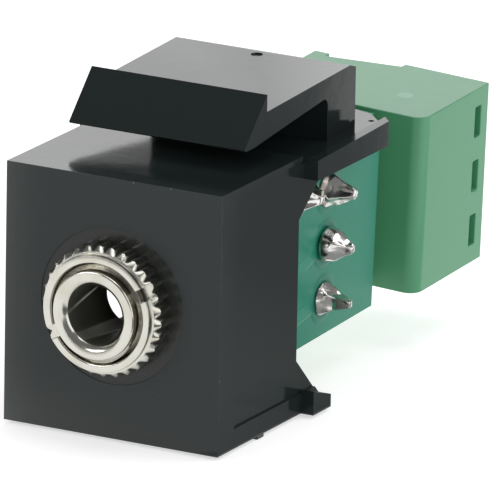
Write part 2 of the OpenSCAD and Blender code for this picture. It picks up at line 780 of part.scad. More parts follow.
// Socket for the pin in front, clamp bar behind, one folded strip
module plug_contact(i) {
    near = row_x - pin_size / 2 - running_gap;
    away = row_x + pin_size / 2 + running_gap;
    start = nose_start + nose_wall + 0.3;
    stop = pocket_start - 1.2;
    web = 0.3;
    color([0.80, 0.74, 0.52]) on_board() union() {
        // lower leaf that steps out to the clamp bar
        translate([0, 0, pole_z[i] - bar_half]) linear_extrude(2 * bar_half) polygon([
            [away, start], [away + leaf, start], [away + leaf, stop],
            [bar_x + bar_thickness, stop + 0.6], [bar_x + bar_thickness, bar_end],
            [bar_x, bar_end], [bar_x, stop + 0.6], [away, stop]]);
        block([near - leaf, start, pole_z[i] - bar_half], [near, stop, pole_z[i] + bar_half]);
        block([near - leaf, start, pole_z[i] - bar_half - 0.05],
            [away + leaf, stop, pole_z[i] - bar_half + web]);
    }
}

module plug_contact_1() plug_contact(0);
module plug_contact_2() plug_contact(1);
module plug_contact_3() plug_contact(2);

// Closed loop around the bar and the wire, with the thread in its top wall
module clamp_cage(i) {
    z = pole_z[i];
    half_y = cage_length / 2;
    color([0.78, 0.78, 0.76]) on_board() difference() {
        block([cage_x, clamp_y - half_y, z - cage_half], [cage_end_x, clamp_y + half_y, z + cage_half]);
        block([cage_inner_x, 0, z - cage_half + cage_side],
            [cage_end_x - cage_bottom_wall, far, z + cage_half - cage_side]);
        x_rod(screw_diameter / 2 + running_gap, cage_x - 1, cage_inner_x + cut, clamp_y, z);
    }
}

module clamp_cage_1() clamp_cage(0);
module clamp_cage_2() clamp_cage(1);
module clamp_cage_3() clamp_cage(2);

module clamp_screw(i) {
    slot = 0.5;
    slot_sink = 0.6;
    color([0.80, 0.80, 0.80]) on_board() difference() {
        union() {
            x_rod(head_diameter / 2, head_top_x, head_seat_x - running_gap, clamp_y, pole_z[i]);
            x_rod(screw_diameter / 2, head_seat_x - 2 * running_gap, bar_x - running_gap,
                clamp_y, pole_z[i]);
        }
        translate([0, clamp_y, pole_z[i]]) rotate([35 + 40 * i, 0, 0])
            block([head_top_x - 1, -far, -slot / 2], [head_top_x + slot_sink, far, slot / 2]);
    }
}

module clamp_screw_1() clamp_screw(0);
module clamp_screw_2() clamp_screw(1);
module clamp_screw_3() clamp_screw(2);

housing();
ring_nut();
socket_bushing();
socket_body();
socket_end_cap();
sleeve_contact();
ring_contact();
tip_contact();
circuit_board();
sleeve_solder();
ring_solder();
tip_solder();
header_shell();
header_pin_1();
header_pin_2();
header_pin_3();
header_solder_1();
header_solder_2();
header_solder_3();
plug_body();
plug_contact_1();
plug_contact_2();
plug_contact_3();
clamp_cage_1();
clamp_cage_2();
clamp_cage_3();
clamp_screw_1();
clamp_screw_2();
clamp_screw_3();
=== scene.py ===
import math

import bpy
from mathutils import Matrix, Vector


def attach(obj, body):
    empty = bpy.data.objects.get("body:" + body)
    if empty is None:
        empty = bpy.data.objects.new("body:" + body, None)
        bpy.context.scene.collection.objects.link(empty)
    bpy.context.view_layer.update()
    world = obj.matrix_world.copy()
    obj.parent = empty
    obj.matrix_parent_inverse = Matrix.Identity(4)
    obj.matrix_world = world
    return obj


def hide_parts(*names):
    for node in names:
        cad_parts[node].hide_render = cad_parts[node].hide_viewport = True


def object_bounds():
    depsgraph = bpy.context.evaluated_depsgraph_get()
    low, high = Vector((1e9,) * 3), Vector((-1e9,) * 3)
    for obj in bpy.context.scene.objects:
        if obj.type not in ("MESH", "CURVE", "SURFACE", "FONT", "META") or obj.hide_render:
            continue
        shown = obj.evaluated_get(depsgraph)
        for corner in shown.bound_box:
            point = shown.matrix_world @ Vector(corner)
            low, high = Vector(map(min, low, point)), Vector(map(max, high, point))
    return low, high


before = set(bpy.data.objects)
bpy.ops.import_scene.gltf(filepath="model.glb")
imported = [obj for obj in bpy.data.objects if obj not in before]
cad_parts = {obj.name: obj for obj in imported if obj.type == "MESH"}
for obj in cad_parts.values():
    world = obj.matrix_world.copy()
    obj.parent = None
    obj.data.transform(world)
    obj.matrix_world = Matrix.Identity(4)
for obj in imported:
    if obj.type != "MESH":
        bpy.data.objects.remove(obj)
cadBox = [list(corner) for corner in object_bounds()]
mm = 0.001
print("frame loaded:", len(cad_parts), "nodes")


# Camera

viewpoint = {"azimuth": 28.37, "elevation": 16.5, "roll": 1.04, "distance": 0.7097, "lens": 864.0,
    "sensor": 36.0, "target": (5.579 * mm, 6.656 * mm, 2.673 * mm)}


def makeCamera():
    azimuth = math.radians(viewpoint["azimuth"])
    elevation = math.radians(viewpoint["elevation"])
    roll = math.radians(viewpoint["roll"])
    back = Vector((math.sin(azimuth) * math.cos(elevation),
        -math.cos(azimuth) * math.cos(elevation), math.sin(elevation)))
    level = Vector((math.cos(azimuth), math.sin(azimuth), 0))
    upright = back.cross(level)
    right = level * math.cos(roll) + upright * math.sin(roll)
    up = back.cross(right)
    data = bpy.data.cameras.new("portrait")
    data.lens = viewpoint["lens"]
    data.sensor_width = viewpoint["sensor"]
    data.clip_start = 0.01
    data.clip_end = 20
    camera = bpy.data.objects.new("portrait", data)
    bpy.context.scene.collection.objects.link(camera)
    place = Vector(viewpoint["target"]) + back * viewpoint["distance"]
    turn = Matrix((right, up, back)).transposed().to_4x4()
    camera.matrix_world = Matrix.Translation(place) @ turn
    bpy.context.scene.camera = camera


makeCamera()


# The board and what it carries stand a little askew, as the tightened nut left them

board = {
    "roll": math.radians(2.9), "lean": math.radians(2.1), "hinge": 8.2, "face": 5.4, "thickness": 1.6,
    # each joint's distance behind the front face and height, in millimetres
    "joints": {
        "header_solder_1": (16.4, -2.89), "header_solder_2": (16.4, 0.61), "header_solder_3": (16.4, 4.11),
        "tip_solder": (12.75, 4.75), "ring_solder": (8.2, -3.25), "sleeve_solder": (8.2, 3.35),
    },
}


def setOnBoard(piece):
    hinge = Matrix.Translation((0, board["hinge"] * mm, 0))
    lean = hinge @ Matrix.Rotation(board["lean"], 4, "X") @ hinge.inverted()
    piece.matrix_world = Matrix.Rotation(board["roll"], 4, "Y") @ lean
    activate(piece)
    bpy.ops.object.transform_apply(location=True, rotation=True, scale=True)


# Shader writing

class Signal:  # an output socket; arithmetic on it adds Math nodes
    def __init__(self, finish, socket):
        self.finish = finish
        self.socket = socket

    def maths(self, operation, first, second=None):
        inputs = {0: first} if second is None else {0: first, 1: second}
        return self.finish.node("ShaderNodeMath", {"operation": operation}, inputs)

    def __add__(self, other):
        return self.maths("ADD", self, other)

    def __radd__(self, other):
        return self.maths("ADD", other, self)

    def __sub__(self, other):
        return self.maths("SUBTRACT", self, other)

    def __rsub__(self, other):
        return self.maths("SUBTRACT", other, self)

    def __mul__(self, other):
        return self.maths("MULTIPLY", self, other)

    def __rmul__(self, other):
        return self.maths("MULTIPLY", other, self)

    def __pow__(self, other):
        return self.maths("POWER", self, other)

    def above(self, level):
        return self.maths("GREATER_THAN", self, level)

    def below(self, level):
        return self.maths("LESS_THAN", self, level)

    def larger(self, other):
        return self.maths("MAXIMUM", self, other)

    def within(self, low, high):
        return self.maths("MINIMUM", self.maths("MAXIMUM", self, low), high)

    def sine(self):
        return self.maths("SINE", self)

    def size(self):
        return self.maths("ABSOLUTE", self)


class Finish:  # a material built around one surface shader
    def __init__(self, name, **sockets):
        self.material = bpy.data.materials.new(name)
        self.material.use_nodes = True
        self.tree = self.material.node_tree
        self.shader = self.tree.nodes["Principled BSDF"]
        for socket, value in sockets.items():
            self.put(self.shader.inputs[socket.replace("_", " ")], value)

    def put(self, socket, value):
        if isinstance(value, Signal):
            self.tree.links.new(value.socket, socket)
        elif hasattr(value, "__len__") and socket.type == "RGBA":
            socket.default_value = (*value[:3], 1)
        else:
            socket.default_value = value

    def node(self, kind, settings=None, inputs=None, out=0):
        made = self.tree.nodes.new(kind)
        for name, value in (settings or {}).items():
            setattr(made, name, value)
        for name, value in (inputs or {}).items():
            self.put(made.inputs[name], value)
        return Signal(self, made.outputs[out])

    def feed(self, socket, value):
        self.put(self.shader.inputs[socket], value)

    def place(self, centre=(0, 0, 0), stretch=(1, 1, 1)):  # object coordinates in millimetres
        where = self.node("ShaderNodeTexCoord", out="Object")
        centred = self.node("ShaderNodeVectorMath", {"operation": "MULTIPLY_ADD"},
            {0: where, 1: (1000, 1000, 1000), 2: tuple(-c for c in centre)})
        if stretch == (1, 1, 1):
            return centred
        return self.node("ShaderNodeMapping", None, {"Vector": centred, "Scale": stretch})

    def onBoard(self):  # coordinates in millimetres as the tilted board has them
        where = self.place()
        x, y, z = (self.axis(where, letter) for letter in "XYZ")
        roll, lean, hinge = board["roll"], board["lean"], board["hinge"]
        flatX = x * math.cos(roll) - z * math.sin(roll)
        flatZ = x * math.sin(roll) + z * math.cos(roll)
        boardY = (y - hinge) * math.cos(lean) + flatZ * math.sin(lean) + hinge
        boardZ = flatZ * math.cos(lean) - (y - hinge) * math.sin(lean)
        return flatX, boardY, boardZ

    def axis(self, where, letter):
        return self.node("ShaderNodeSeparateXYZ", None, {0: where}, letter)

    def distance(self, where, point):
        return self.node("ShaderNodeVectorMath", {"operation": "DISTANCE"}, {0: where, 1: point}, "Value")

    def noise(self, where, size, detail=2.0, roughness=0.5, distortion=0.0):
        return self.node("ShaderNodeTexNoise", {"noise_dimensions": "3D"},
            {"Vector": where, "Scale": 1 / size, "Detail": detail, "Roughness": roughness,
             "Distortion": distortion}, "Fac")

    def cells(self, where, size):
        return self.node("ShaderNodeTexVoronoi", {"feature": "F1"},
            {"Vector": where, "Scale": 1 / size}, "Distance")

    def remap(self, value, low, high, newLow=0.0, newHigh=1.0):
        return self.node("ShaderNodeMapRange", {"clamp": True},
            {"Value": value, "From Min": low, "From Max": high, "To Min": newLow, "To Max": newHigh})

    def blend(self, factor, first, second):
        return self.node("ShaderNodeMix", {"data_type": "RGBA"}, {0: factor, 6: first, 7: second}, 2)

    def bump(self, height, depth, below=None):  # depth in millimetres
        inputs = {"Height": height, "Distance": depth * mm, "Strength": 1.0}
        if below is not None:
            inputs["Normal"] = below
        return self.node("ShaderNodeBump", None, inputs)


# Finishes

def glossyBlack():
    look = {
        "colour": (0.0118, 0.0164, 0.0162), "dustAndGlare": (0.08, 0.082, 0.08), "rubbed": (0.0205, 0.0215, 0.0185),
        "roughness": 0.07, "frontRoughness": 0.16,
        # small pale spots at the mould's parting edges, partly burrs and pits and partly painted glints:
        # place and size
        "burrsAndGlints": (((4.9, 0.2, 10.72), 0.1), ((1.32, 0, 7.8), 0.08), ((3.83, 0, 7.8), 0.07),
            ((7.2, 0.1, -3.5), 0.09), ((7.25, 2.1, -6.65), 0.08), ((5.4, 0, 10.55), 0.06)),
    }
    finish = Finish("glossyBlack", IOR=1.38)
    where = finish.place()
    x, y, z = (finish.axis(where, letter) for letter in "XYZ")
    haze = finish.noise(where, 4.5, 3)
    peel = finish.noise(where, 0.55, 2)
    grain = finish.noise(where, 0.07, 3, 0.6)
    specks = finish.remap(finish.cells(where, 0.55), 0.03, 0.07, 1, 0)
    rare = finish.noise(where, 0.8, 1).above(0.62)
    lintAndGlints = specks * rare
    # the pale spots, burrs in part and painted glints in part, join the lint
    for spot, size in look["burrsAndGlints"]:
        lintAndGlints = finish.remap(finish.distance(where, spot), size * 0.6, size, 1.6, 0) + lintAndGlints
    front = y.below(0.045)
    # the turning nut has rubbed its seat
    reach = (x * x + z * z) ** 0.5
    seat = finish.remap(reach, 4.55, 4.8, 1, 0) * y.above(0.03) * y.below(0.1)
    rubbed = seat * finish.remap(grain, 0.35, 0.6, 0.3, 1)
    tone = finish.blend(rubbed, look["colour"], look["rubbed"])
    # painted light: the front is painted paler towards its left and lower edges
    left = finish.remap(x, -7.25, -3.5, 1, 0) ** 3
    low = finish.remap(z, -8.15, -3.5, 1, 0) ** 2
    paintedGlare = (left * 0.36 + low * finish.remap(x, -6, 7, 0.38, 0.1)) * front
    tone = finish.blend(paintedGlare, tone, look["dustAndGlare"])
    finish.feed("Base Color", finish.blend(lintAndGlints * 0.5, tone, look["dustAndGlare"]))
    finish.feed("Roughness", look["roughness"] + front * look["frontRoughness"] + rubbed * 0.16 + haze * 0.045
        + grain * 0.04 + lintAndGlints * 0.2)
    wavy = finish.bump(peel, 0.0018, finish.bump(haze, 0.014))
    finish.feed("Normal", finish.bump(grain, 0.0006, wavy))
    return finish.material


def warmNickel():
    look = {"colour": (0.60, 0.592, 0.535), "stain": (0.52, 0.50, 0.42), "shadeAndGrime": (0.10, 0.08, 0.05),
        "dull": (0.068, 0.070, 0.055), "paintedHighlight": (0.9, 0.89, 0.84), "roughness": 0.13}
    finish = Finish("warmNickel", Metallic=1.0)
    where = finish.place()
    x, y, z = (finish.axis(where, letter) for letter in "XYZ")
    radius = (x * x + z * z) ** 0.5
    turning = ((radius + y) * 130 + finish.noise(where, 0.6) * 6).sine()
    cloud = finish.noise(where, 1.6, 3)
    tone = finish.blend(finish.remap(cloud, 0.45, 0.8), look["colour"], look["stain"])
    # oil and dust, and painted shade in the narrow gap, darken the thread's roots and the wall of the nut
    # around them
    sunk = radius.above(2.66) * radius.below(3.0) * finish.remap(y, -2.05, -1.85)
    crest = finish.remap(radius, 2.86, 2.95) * radius.below(3.02)
    shadeAndGrime = sunk * (1 - crest * 0.75) * finish.remap(finish.noise(where, 0.5, 3), 0.3, 0.6, 0.45, 0.85)
    # the bore is made dull and mostly non-metallic, with a wedge and lines of painted highlight along its
    # wall
    inside = radius.below(1.83) * y.above(-2.1)
    low = z.below(0)
    wedgeTop = finish.remap(x + 1.22 - (y + 1.35) * 0.045, -0.05, 0.05)
    lineOff = x + 0.56 - (y + 1) * 0.175
    wedge = low * wedgeTop * finish.remap(lineOff, -0.05, 0.04, 1, 0) * finish.remap(y, -1.3, 2.6, 0.12, 0.6)
    lowLine = finish.remap((lineOff + 0.06).size(), 0.03, 0.12, 1, 0)
    lowLine = low * lowLine * finish.remap(y, -1.0, 2.0, 0.15, 1)
    streakOff = (z - 0.03 - (y + 1.38) * 0.234).size()
    streakEnds = finish.remap(y, -1.5, 0.2, 0.12, 1) * finish.remap(y, 1.05, 1.4, 1, 0)
    streak = x.below(0) * finish.remap(streakOff, 0.05, 0.13, 1, 0) * streakEnds
    # painted highlights: the wedge, the low line and the streak are painted pale on the bore's dull wall
    dull = finish.blend(wedge.larger(lowLine).larger(streak), look["dull"], look["paintedHighlight"])
    tone = finish.blend(shadeAndGrime, tone, look["shadeAndGrime"])
    finish.feed("Base Color", finish.blend(inside, tone, dull))
    finish.feed("Roughness", look["roughness"] + cloud * 0.1 + turning * 0.02 + inside * 0.25 + shadeAndGrime * 0.15)
    finish.feed("Metallic", 1 - inside * 0.8)
    finish.feed("Normal", finish.bump(turning, 0.0006, finish.bump(cloud, 0.004)))
    return finish.material


def mattBlack():
    look = {"colour": (0.018, 0.018, 0.019), "pale": (0.03, 0.03, 0.031), "roughness": 0.5}
    finish = Finish("mattBlack")
    where = finish.place()
    grain = finish.noise(where, 0.09, 4, 0.6)
    finish.feed("Base Color", finish.blend(finish.noise(where, 1.5), look["colour"], look["pale"]))
    finish.feed("Roughness", look["roughness"] + grain * 0.2)
    finish.feed("Normal", finish.bump(grain, 0.004))
    return finish.material


def silveredStrip():
    look = {"colour": (0.72, 0.68, 0.58), "tarnish": (0.5, 0.42, 0.28), "roughness": 0.22}
    finish = Finish("silveredStrip", Metallic=1.0)
    where = finish.place()
    rolled = finish.noise(finish.place(stretch=(6, 0.5, 6)), 0.5, 3)
    cloud = finish.noise(where, 0.9, 3)
    finish.feed("Base Color", finish.blend(finish.remap(cloud, 0.5, 0.85), look["colour"], look["tarnish"]))
    finish.feed("Roughness", look["roughness"] + rolled * 0.15)
    finish.feed("Normal", finish.bump(rolled, 0.0015))
    return finish.material


def solderMask():
    look = {
        "mask": (0.011, 0.174, 0.111), "overCopper": (0.016, 0.202, 0.130), "shadeAndFlux": (0.012, 0.11, 0.074),
        "laminate": (0.24, 0.30, 0.17), "darkLayer": (0.2, 0.26, 0.14), "roughness": 0.26,
        # tracks under the mask: from and to, each behind the face and height, and half width
        "tracks": (((16.4, 4.11), (12.6, 5.0), 0.4), ((16.4, 0.61), (11.6, -0.6), 0.35),
            ((11.6, -0.6), (8.2, -3.2), 0.35), ((16.4, -2.89), (12.2, -3.4), 0.4),
            ((12.2, -3.4), (9.0, 3.3), 0.4)),
    }
    finish = Finish("solderMask", IOR=1.34)
    x, y, z = finish.onBoard()
    # glass cloth shows faintly through the mask
    weave = (y * 9.0).sine() * (z * 9.0).sine()
    mottled = finish.noise(finish.place(), 1.8, 3)
    # the mask swells over the copper, and around each joint it is painted darker, partly flux and partly
    # painted shade
    swell = 0
    shadeAndFlux = 0
    for middleY, middleZ in board["joints"].values():
        reach = ((y - middleY) ** 2 + (z - middleZ) ** 2) ** 0.5
        swell = finish.remap(reach, 1.35, 1.6, 1, 0) + swell
        shadeAndFlux = finish.remap(reach, 1.15, 1.75, 1, 0) + shadeAndFlux
    for (startY, startZ), (endY, endZ), half in look["tracks"]:
        alongY, alongZ = endY - startY, endZ - startZ
        length = math.hypot(alongY, alongZ)
        alongY, alongZ = alongY / length, alongZ / length
        share = ((y - startY) * alongY + (z - startZ) * alongZ).within(0, length)
        offY = y - startY - share * alongY
        offZ = z - startZ - share * alongZ
        off = (offY ** 2 + offZ ** 2) ** 0.5
        swell = swell.larger(finish.remap(off, half, half + 0.12, 1, 0))
    middle = board["face"] - board["thickness"] / 2
    edge = (x - middle).size().below(board["thickness"] / 2 - 0.04)
    pale = finish.remap(mottled, 0.35, 0.75, 0, 0.4) + swell * 0.5
    mask = finish.blend(pale, look["mask"], look["overCopper"])
    # painted shade with flux: the mask is darker around each joint
    mask = finish.blend(shadeAndFlux * finish.remap(mottled, 0.3, 0.6, 0.35, 0.8), mask, look["shadeAndFlux"])
    layers = finish.noise(finish.place(stretch=(9, 1, 1)), 0.6, 3)
    laminate = finish.blend(layers, look["laminate"], look["darkLayer"])
    finish.feed("Base Color", finish.blend(edge, mask, laminate))
    finish.feed("Roughness", look["roughness"] + edge * 0.35 + mottled * 0.1)
    finish.feed("Normal", finish.bump(weave, 0.0012, finish.bump(swell, 0.035, finish.bump(mottled, 0.006))))
    return finish.material


def brightSolder():
    look = {"colour": (0.80, 0.785, 0.765), "flux": (0.16, 0.12, 0.08), "roughness": 0.1}
    finish = Finish("brightSolder", Metallic=1.0)
    where = finish.place()
    flow = finish.noise(where, 1.1, 2, 0.4, 0.5)
    residue = finish.noise(finish.place(centre=(4, 1, 7)), 0.7, 3, 0.55)
    frost = finish.noise(where, 0.05, 3)
    # brown flux residue lies low on the joints
    height = finish.onBoard()[0] - board["face"]
    low = finish.remap(height, 0.15, 0.75, 1, 0)
    brown = finish.remap(residue, 0.46, 0.62, 0, 0.85) * low
    finish.feed("Base Color", finish.blend(brown, look["colour"], look["flux"]))
    finish.feed("Roughness", look["roughness"] + frost * 0.1 + brown * 0.2)
    finish.feed("Normal", finish.bump(flow, 0.08))
    return finish.material


def tinnedPin():
    look = {"colour": (0.76, 0.74, 0.7), "tarnish": (0.6, 0.57, 0.5), "roughness": 0.2}
    finish = Finish("tinnedPin", Metallic=1.0)
    where = finish.place()
    cloud = finish.noise(where, 0.7, 3)
    drawn = finish.noise(finish.place(stretch=(0.6, 0.6, 7)), 0.4, 3)
    finish.feed("Base Color", finish.blend(cloud, look["colour"], look["tarnish"]))
    finish.feed("Roughness", look["roughness"] + drawn * 0.16)
    finish.feed("Normal", finish.bump(drawn, 0.002))
    return finish.material


def greenMoulding():
    look = {"colour": (0.056, 0.236, 0.117), "pale": (0.066, 0.258, 0.130), "roughness": 0.24,
        "gate": (4.35, 28.4, 6.75), "gateColour": (0.3, 0.5, 0.38)}
    finish = Finish("greenMoulding", IOR=1.56)
    where = finish.place()
    flow = finish.noise(finish.place(stretch=(1, 0.4, 1)), 5.0, 3)
    sparkled = finish.noise(where, 0.06, 3, 0.65)
    slow = finish.noise(where, 1.2, 2)
    gate = finish.remap(finish.distance(where, look["gate"]), 0.42, 0.55, 1, 0)
    tone = finish.blend(flow, look["colour"], look["pale"])
    finish.feed("Base Color", finish.blend(gate * 0.55, tone, look["gateColour"]))
    finish.feed("Roughness", look["roughness"] + sparkled * 0.14 + slow * 0.06 + gate * 0.12)
    finish.feed("Normal", finish.bump(sparkled, 0.0025, finish.bump(slow, 0.004)))
    return finish.material


def tinnedBrass():
    look = {"colour": (0.72, 0.63, 0.42), "worn": (0.78, 0.74, 0.64), "roughness": 0.25}
    finish = Finish("tinnedBrass", Metallic=1.0)
    where = finish.place()
    cloud = finish.noise(where, 0.8, 3)
    rolled = finish.noise(finish.place(stretch=(5, 0.4, 5)), 0.5, 3)
    finish.feed("Base Color", finish.blend(finish.remap(cloud, 0.4, 0.7), look["colour"], look["worn"]))
    finish.feed("Roughness", look["roughness"] + rolled * 0.18)
    finish.feed("Normal", finish.bump(rolled, 0.002))
    return finish.material


def zincSteel():
    look = {"colour": (0.66, 0.67, 0.68), "yellowed": (0.6, 0.57, 0.49), "roughness": 0.24}
    finish = Finish("zincSteel", Metallic=1.0)
    where = finish.place()
    cloud = finish.noise(where, 0.9, 3)
    grain = finish.noise(where, 0.05, 3)
    finish.feed("Base Color", finish.blend(finish.remap(cloud, 0.45, 0.75), look["colour"], look["yellowed"]))
    finish.feed("Roughness", look["roughness"] + grain * 0.2)
    finish.feed("Normal", finish.bump(grain, 0.002))
    return finish.material


finishes = {
    "black_moulding": glossyBlack(),
    "nickel": warmNickel(),
    "socket_moulding": mattBlack(),
    "spring_metal": silveredStrip(),
    "board": solderMask(),
    "solder": brightSolder(),
    "tinned_pin": tinnedPin(),
    "green_moulding": greenMoulding(),
    "contact_brass": tinnedBrass(),
    "plated_steel": zincSteel(),
}
print("finishes ready:", len(finishes))


# Working with pieces

def deselect():
    if bpy.context.mode != "OBJECT":
        bpy.ops.object.mode_set(mode="OBJECT")
    bpy.ops.object.select_all(action="DESELECT")


def activate(piece):
    deselect()
    piece.select_set(True)
    bpy.context.view_layer.objects.active = piece


def applyModifier(piece, kind, **settings):
    modifier = piece.modifiers.new(kind.lower(), kind)
    for name, value in settings.items():
        setattr(modifier, name, value)
    activate(piece)
    bpy.ops.object.modifier_apply(modifier=modifier.name)


def wear(piece, slotName, body, *stoodFor):
    piece.data.materials.clear()
    piece.data.materials.append(finishes[slotName])
    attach(piece, body)
    if stoodFor:
        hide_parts(*stoodFor)


def shaded(piece, angle=50):  # smooth over the small rounds, flat over the large faces
    activate(piece)
    bpy.ops.object.shade_smooth_by_angle(angle=math.radians(angle))
    applyModifier(piece, "WEIGHTED_NORMAL", mode="FACE_AREA", weight=50, keep_sharp=True)


def softened(nodeName, pieceName, width, segments=2):  # a copy of a CAD node with eased edges
    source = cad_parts[nodeName]
    piece = bpy.data.objects.new(pieceName, source.data.copy())
    bpy.context.scene.collection.objects.link(piece)
    activate(piece)
    bpy.ops.object.mode_set(mode="EDIT")
    bpy.ops.mesh.select_all(action="SELECT")
    bpy.ops.mesh.remove_doubles(threshold=1e-6)
    bpy.ops.mesh.dissolve_limited(angle_limit=math.radians(0.4))
    bpy.ops.object.mode_set(mode="OBJECT")
    applyModifier(piece, "BEVEL", width=width * mm, segments=segments, limit_method="ANGLE",
        angle_limit=math.radians(28), use_clamp_overlap=True, miter_outer="MITER_ARC")
    shaded(piece)
    return piece


# Moulded and metal pieces that keep the model's form, with eased edges

easedPieces = {
    # CAD node: piece, material slot, body, radius of its edges in millimetres
    "housing": ("panelBlock", "black_moulding", "module", 0.07),
    "socket_body": ("socketBody", "socket_moulding", "module", 0.06),
    "socket_end_cap": ("socketEndCap", "socket_moulding", "module", 0.06),
    "circuit_board": ("circuitBoard", "board", "module", 0.03),
    "header_shell": ("headerShell", "green_moulding", "module", 0.06),
    "plug_body": ("plugBody", "green_moulding", "plug", 0.1),
}


def makeEasedPieces():
    for nodeName, (pieceName, slotName, body, width) in easedPieces.items():
        piece = softened(nodeName, pieceName, width)
        wear(piece, slotName, body, nodeName)
        print("eased:", pieceName, len(piece.data.polygons), "faces")


makeEasedPieces()


# Turned pieces are drawn as a circle around the socket's axis and extruded along a profile

def startRing(name, radius, depth, corners):
    deselect()
    bpy.ops.mesh.primitive_circle_add(vertices=corners, radius=radius * mm, location=(0, depth * mm, 0),
        rotation=(math.radians(90), 0, 0))
    piece = bpy.context.active_object
    piece.name = name
    activate(piece)
    bpy.ops.object.transform_apply(location=True, rotation=True, scale=True)
    bpy.ops.object.mode_set(mode="EDIT")
    bpy.ops.mesh.select_mode(type="VERT")
    bpy.ops.mesh.select_all(action="SELECT")
    return piece


def extrudeTo(radius, depth, nextRadius, nextDepth):
    bpy.ops.mesh.extrude_region_move(TRANSFORM_OT_translate={"value": (0, (nextDepth - depth) * mm, 0)})
    factor = nextRadius / radius
    if factor != 1:
        bpy.ops.transform.resize(value=(factor, 1, factor), center_override=(0, nextDepth * mm, 0))


def turn(profile):  # the profile lists radius and place along the axis, starting where the ring starts
    for (radius, depth), (nextRadius, nextDepth) in zip(profile, profile[1:]):
        extrudeTo(radius, depth, nextRadius, nextDepth)


def closeTube():  # joins the first and the last ring
    bpy.ops.mesh.select_all(action="DESELECT")
    bpy.ops.mesh.select_non_manifold(extend=False)
    bpy.ops.mesh.bridge_edge_loops()
    bpy.ops.mesh.select_all(action="SELECT")
    bpy.ops.mesh.remove_doubles(threshold=1e-7)
    bpy.ops.mesh.normals_make_consistent(inside=False)
    bpy.ops.object.mode_set(mode="OBJECT")


def arcProfile(centreRadius, centreDepth, size, start, end, steps):
    angles = [math.radians(start + (end - start) * i / steps) for i in range(steps + 1)]
    return [(centreRadius + size * math.cos(a), centreDepth + size * math.sin(a)) for a in angles]


bushing = {
    # radii, and places along the axis from the block's front face to the rear, in millimetres
    "bore": 1.8, "front": -2.35, "faceOuter": 2.6,
    # the rounded mouth is an arc: radius and distance behind the front of its centre, and its own radius
    "lipCentre": (2.55, 0.75), "lip": 0.8276,
    "thread": 2.98, "threadRoot": 2.72, "pitch": 0.5, "threadStart": -1.93, "threadEnd": 0.1,
    # the ridge's foot and top as shares of the pitch and of the foot, and the steps over which it fades
    "sunk": 0.03, "foot": 0.86, "top": 0.16, "turns": 4, "fade": 20,
    "neck": 3.0, "wall": 1.5, "flange": 3.9, "flangeEnd": 2.3, "flangeEdge": 0.05, "spigot": 2.6, "end": 2.6,
    "corners": 96,
}


def makeBushing():
    size = bushing
    front, neck, wall = size["front"], size["neck"], size["wall"]
    flange, flangeEnd, edge = size["flange"], size["flangeEnd"], size["flangeEdge"]
    # rounded mouth, flat face, rounded edge, thread root, neck, flange behind the panel, spigot
    lipRadius, lipDepth = size["lipCentre"]
    lip = arcProfile(lipRadius, front + lipDepth, size["lip"], 205, 245, 6)
    rim = size["threadRoot"] - size["faceOuter"]
    profile = [(size["bore"], size["end"]), *lip,
        *arcProfile(size["faceOuter"], front + rim, rim, 270, 360, 4),
        (size["threadRoot"], size["threadEnd"]), (neck, size["threadEnd"]), (neck, wall),
        (flange - edge, wall), (flange, wall + edge), (flange, flangeEnd - edge), (flange - edge, flangeEnd),
        (size["spigot"], flangeEnd), (size["spigot"], size["end"])]
    piece = startRing("socketBushing", *profile[0], size["corners"])
    turn(profile)
    closeTube()
    thread = makeThread()
    activate(piece)
    thread.select_set(True)
    bpy.ops.object.join()
    shaded(piece, 35)
    wear(piece, "nickel", "module", "socket_bushing")
    print("bushing made:", len(piece.data.polygons), "faces")


def makeThread():  # one triangular ridge, spun around the bushing and let run out at both ends
    size = bushing
    root, crest, pitch = size["threadRoot"] - size["sunk"], size["thread"], size["pitch"]
    middle = (root + crest) / 2 * mm
    start = size["threadStart"]
    deselect()
    bpy.ops.mesh.primitive_plane_add(size=1 * mm, location=(middle, start * mm, 0))
    piece = bpy.context.active_object
    piece.name = "bushingThread"
    piece.scale = (crest - root, pitch * size["foot"], 1)
    activate(piece)
    bpy.ops.object.transform_apply(location=True, rotation=True, scale=True)
    selectWhere(piece, lambda vertex: vertex.co.x > middle)
    bpy.ops.transform.resize(value=(1, size["top"], 1), center_override=(0, start * mm, 0))
    bpy.ops.mesh.select_all(action="SELECT")
    bpy.ops.mesh.delete(type="ONLY_FACE")
    bpy.ops.object.mode_set(mode="OBJECT")
    applyModifier(piece, "SCREW", axis="Y", angle=2 * math.pi, screw_offset=pitch * mm,
        iterations=size["turns"], steps=size["corners"], render_steps=size["corners"])
    ends = len(piece.data.vertices) // 4 - 1
    for step in range(size["fade"]):
        factor = 1 + (root / crest - 1) * (1 - step / size["fade"])
        selectWhere(piece, lambda vertex: vertex.index // 4 in (step, ends - step)
            and math.hypot(vertex.co.x, vertex.co.z) > middle)
        bpy.ops.transform.resize(value=(factor, 1, factor), center_override=(0, 0, 0))
        bpy.ops.object.mode_set(mode="OBJECT")
    activate(piece)
    bpy.ops.object.mode_set(mode="EDIT")
    bpy.ops.mesh.select_all(action="SELECT")
    bpy.ops.mesh.fill_holes(sides=4)
    bpy.ops.mesh.normals_make_consistent(inside=False)
    bpy.ops.object.mode_set(mode="OBJECT")
    return piece


nut = {
    # radii, and places along the axis as for the bushing, in millimetres, with the slots' turn in degrees
    "teeth": 30, "tip": 4.05, "shoulder": 3.98, "valley": 3.74, "back": 0.05,
    "knurlFront": -1.6, "cone": 0.34, "coneEnd": 3.7213,
    "ring": 3.57, "ringInner": 3.09, "innerRound": 0.1, "front": -1.95, "bore": 3.05,
    "slotWidth": 0.78, "slotDepth": 0.72, "slotTurn": 28, "edge": 0.022,
}


